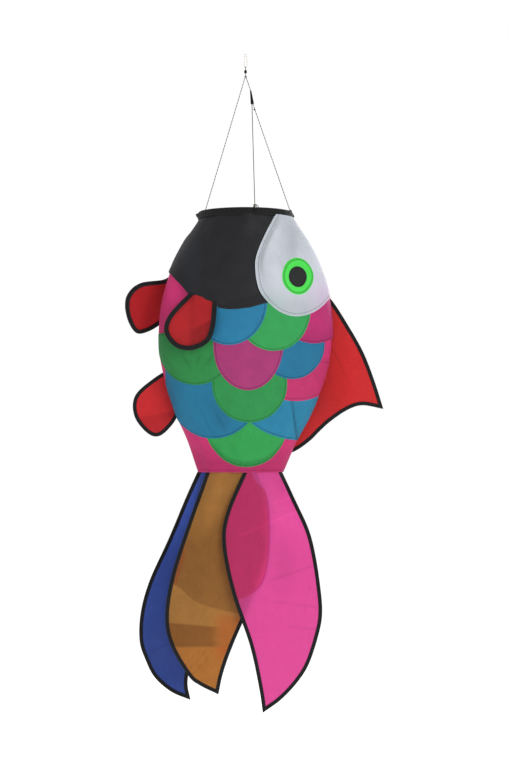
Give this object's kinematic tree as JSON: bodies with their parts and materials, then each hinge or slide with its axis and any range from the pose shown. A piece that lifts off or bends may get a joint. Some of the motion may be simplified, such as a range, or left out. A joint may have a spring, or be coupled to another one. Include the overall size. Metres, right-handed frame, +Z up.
{
  "type": "carp windsock streamer",
  "caption": "Fabric carp windsock hung head-up from a cord bridle and swivel, with a wire-hoop mouth, sewn scales, bound fins and leaf-shaped tail petals.",
  "frame": {"origin": "top of the hanging loop, where the streamer is hung", "axes": "+Z up along the hanging line, +X towards the fish's back, -X its belly, -Y its left side"},
  "size_m": [0.42, 0.1975, 1.0689],
  "materials": {
    "black_cloth": "woven, satin",
    "white_cloth": "woven, translucent",
    "iris_cloth": "woven, satin",
    "pink_cloth": "woven, satin",
    "magenta_cloth": "woven, satin",
    "blue_cloth": "woven, satin",
    "green_cloth": "woven, satin",
    "red_cloth": "woven, satin",
    "tail_blue": "woven, satin",
    "tail_orange": "woven, glossy, creased",
    "tail_pink": "woven, translucent",
    "bridle_cord": "two-tone twisted cord",
    "loop_cord": "thin cord",
    "swivel_metal": "black, glossy",
    "hoop_wire": "spring wire"
  },
  "bodies": {
    "hanger": {"hanging_loop": "loop_cord", "swivel_upper_eye": "swivel_metal"},
    "fish": {"swivel_barrel": "swivel_metal", "swivel_lower_eye": "swivel_metal", "bridle_tie_left": "black_cloth", "bridle_tie_front": "black_cloth", "bridle_tie_right": "black_cloth", "bridle_connector": "black_cloth", "bridle_left": "bridle_cord", "bridle_top": "bridle_cord", "bridle_front": "bridle_cord", "bridle_right": "bridle_cord", "hoop": "hoop_wire", "mouth_hem": "black_cloth", "head_left": "black_cloth", "body_left": "pink_cloth", "eye_patch_left": "white_cloth", "iris_left": "iris_cloth", "pupil_left": "black_cloth", "scale_left_1a": "blue_cloth", "scale_left_1b": "green_cloth", "scale_left_1c": "magenta_cloth", "scale_left_2a": "green_cloth", "scale_left_2b": "magenta_cloth", "scale_left_2c": "blue_cloth", "scale_left_3a": "blue_cloth", "scale_left_3b": "green_cloth", "scale_left_3c": "pink_cloth", "scale_left_4a": "green_cloth", "scale_left_4b": "blue_cloth", "head_right": "black_cloth", "body_right": "pink_cloth", "eye_patch_right": "white_cloth", "iris_right": "iris_cloth", "pupil_right": "black_cloth", "scale_right_1a": "blue_cloth", "scale_right_1b": "green_cloth", "scale_right_1c": "magenta_cloth", "scale_right_2a": "green_cloth", "scale_right_2b": "magenta_cloth", "scale_right_2c": "blue_cloth", "scale_right_3a": "blue_cloth", "scale_right_3b": "green_cloth", "scale_right_3c": "pink_cloth", "scale_right_4a": "green_cloth", "scale_right_4b": "blue_cloth"},
    "dorsal_fin": {"dorsal_fin": "red_cloth", "dorsal_fin_binding": "black_cloth"},
    "anal_fin": {"anal_fin": "red_cloth", "anal_fin_binding": "black_cloth"},
    "pectoral_left": {"pectoral_fin_left": "red_cloth", "pectoral_fin_left_binding": "black_cloth"},
    "pectoral_right": {"pectoral_fin_right": "red_cloth", "pectoral_fin_right_binding": "black_cloth"},
    "petal_pink": {"tail_petal_pink": "tail_pink", "tail_petal_pink_binding": "black_cloth"},
    "petal_orange": {"tail_petal_orange": "tail_orange", "tail_petal_orange_binding": "black_cloth"},
    "petal_blue": {"tail_petal_blue": "tail_blue", "tail_petal_blue_binding": "black_cloth"}
  },
  "joints": [
    {"name": "swivel_spin", "type": "hinge", "parent": "hanger", "child": "fish", "pos_m": [0, 0, -0.03], "axis": [0, 0, 1], "continuous": true},
    {"name": "dorsal_fin_sway", "type": "hinge", "parent": "fish", "child": "dorsal_fin", "pos_m": [0.136, 0, -0.403], "axis": [0.2275, 0, 0.9738], "range_deg": [-25, 25]},
    {"name": "anal_fin_sway", "type": "hinge", "parent": "fish", "child": "anal_fin", "pos_m": [-0.135, 0, -0.525], "axis": [-0.285, 0, 0.9585], "range_deg": [-30, 30]},
    {"name": "pectoral_left_swing", "type": "hinge", "parent": "fish", "child": "pectoral_left", "pos_m": [-0.0684, -0.0898, -0.4083], "axis": [-0.863, 0.3944, 0.3157], "range_deg": [0, 60]},
    {"name": "pectoral_right_swing", "type": "hinge", "parent": "fish", "child": "pectoral_right", "pos_m": [-0.109, 0.0586, -0.377], "axis": [0.4249, 0.7331, -0.5311], "range_deg": [0, 50]},
    {"name": "pink_petal_swing", "type": "hinge", "parent": "fish", "child": "petal_pink", "pos_m": [0.028, -0.039, -0.686], "axis": [-1, 0, 0], "range_deg": [-4, 55]},
    {"name": "orange_petal_swing", "type": "hinge", "parent": "fish", "child": "petal_orange", "pos_m": [-0.023, -0.033, -0.686], "axis": [-1, 0, 0], "range_deg": [-4, 55]},
    {"name": "blue_petal_swing", "type": "hinge", "parent": "fish", "child": "petal_blue", "pos_m": [-0.058, 0.033, -0.686], "axis": [1, 0, 0], "range_deg": [-4, 55]}
  ],
  "couplings": [
    {"joint": "orange_petal_swing", "follows": "pink_petal_swing", "ratio": 1}
  ]
}
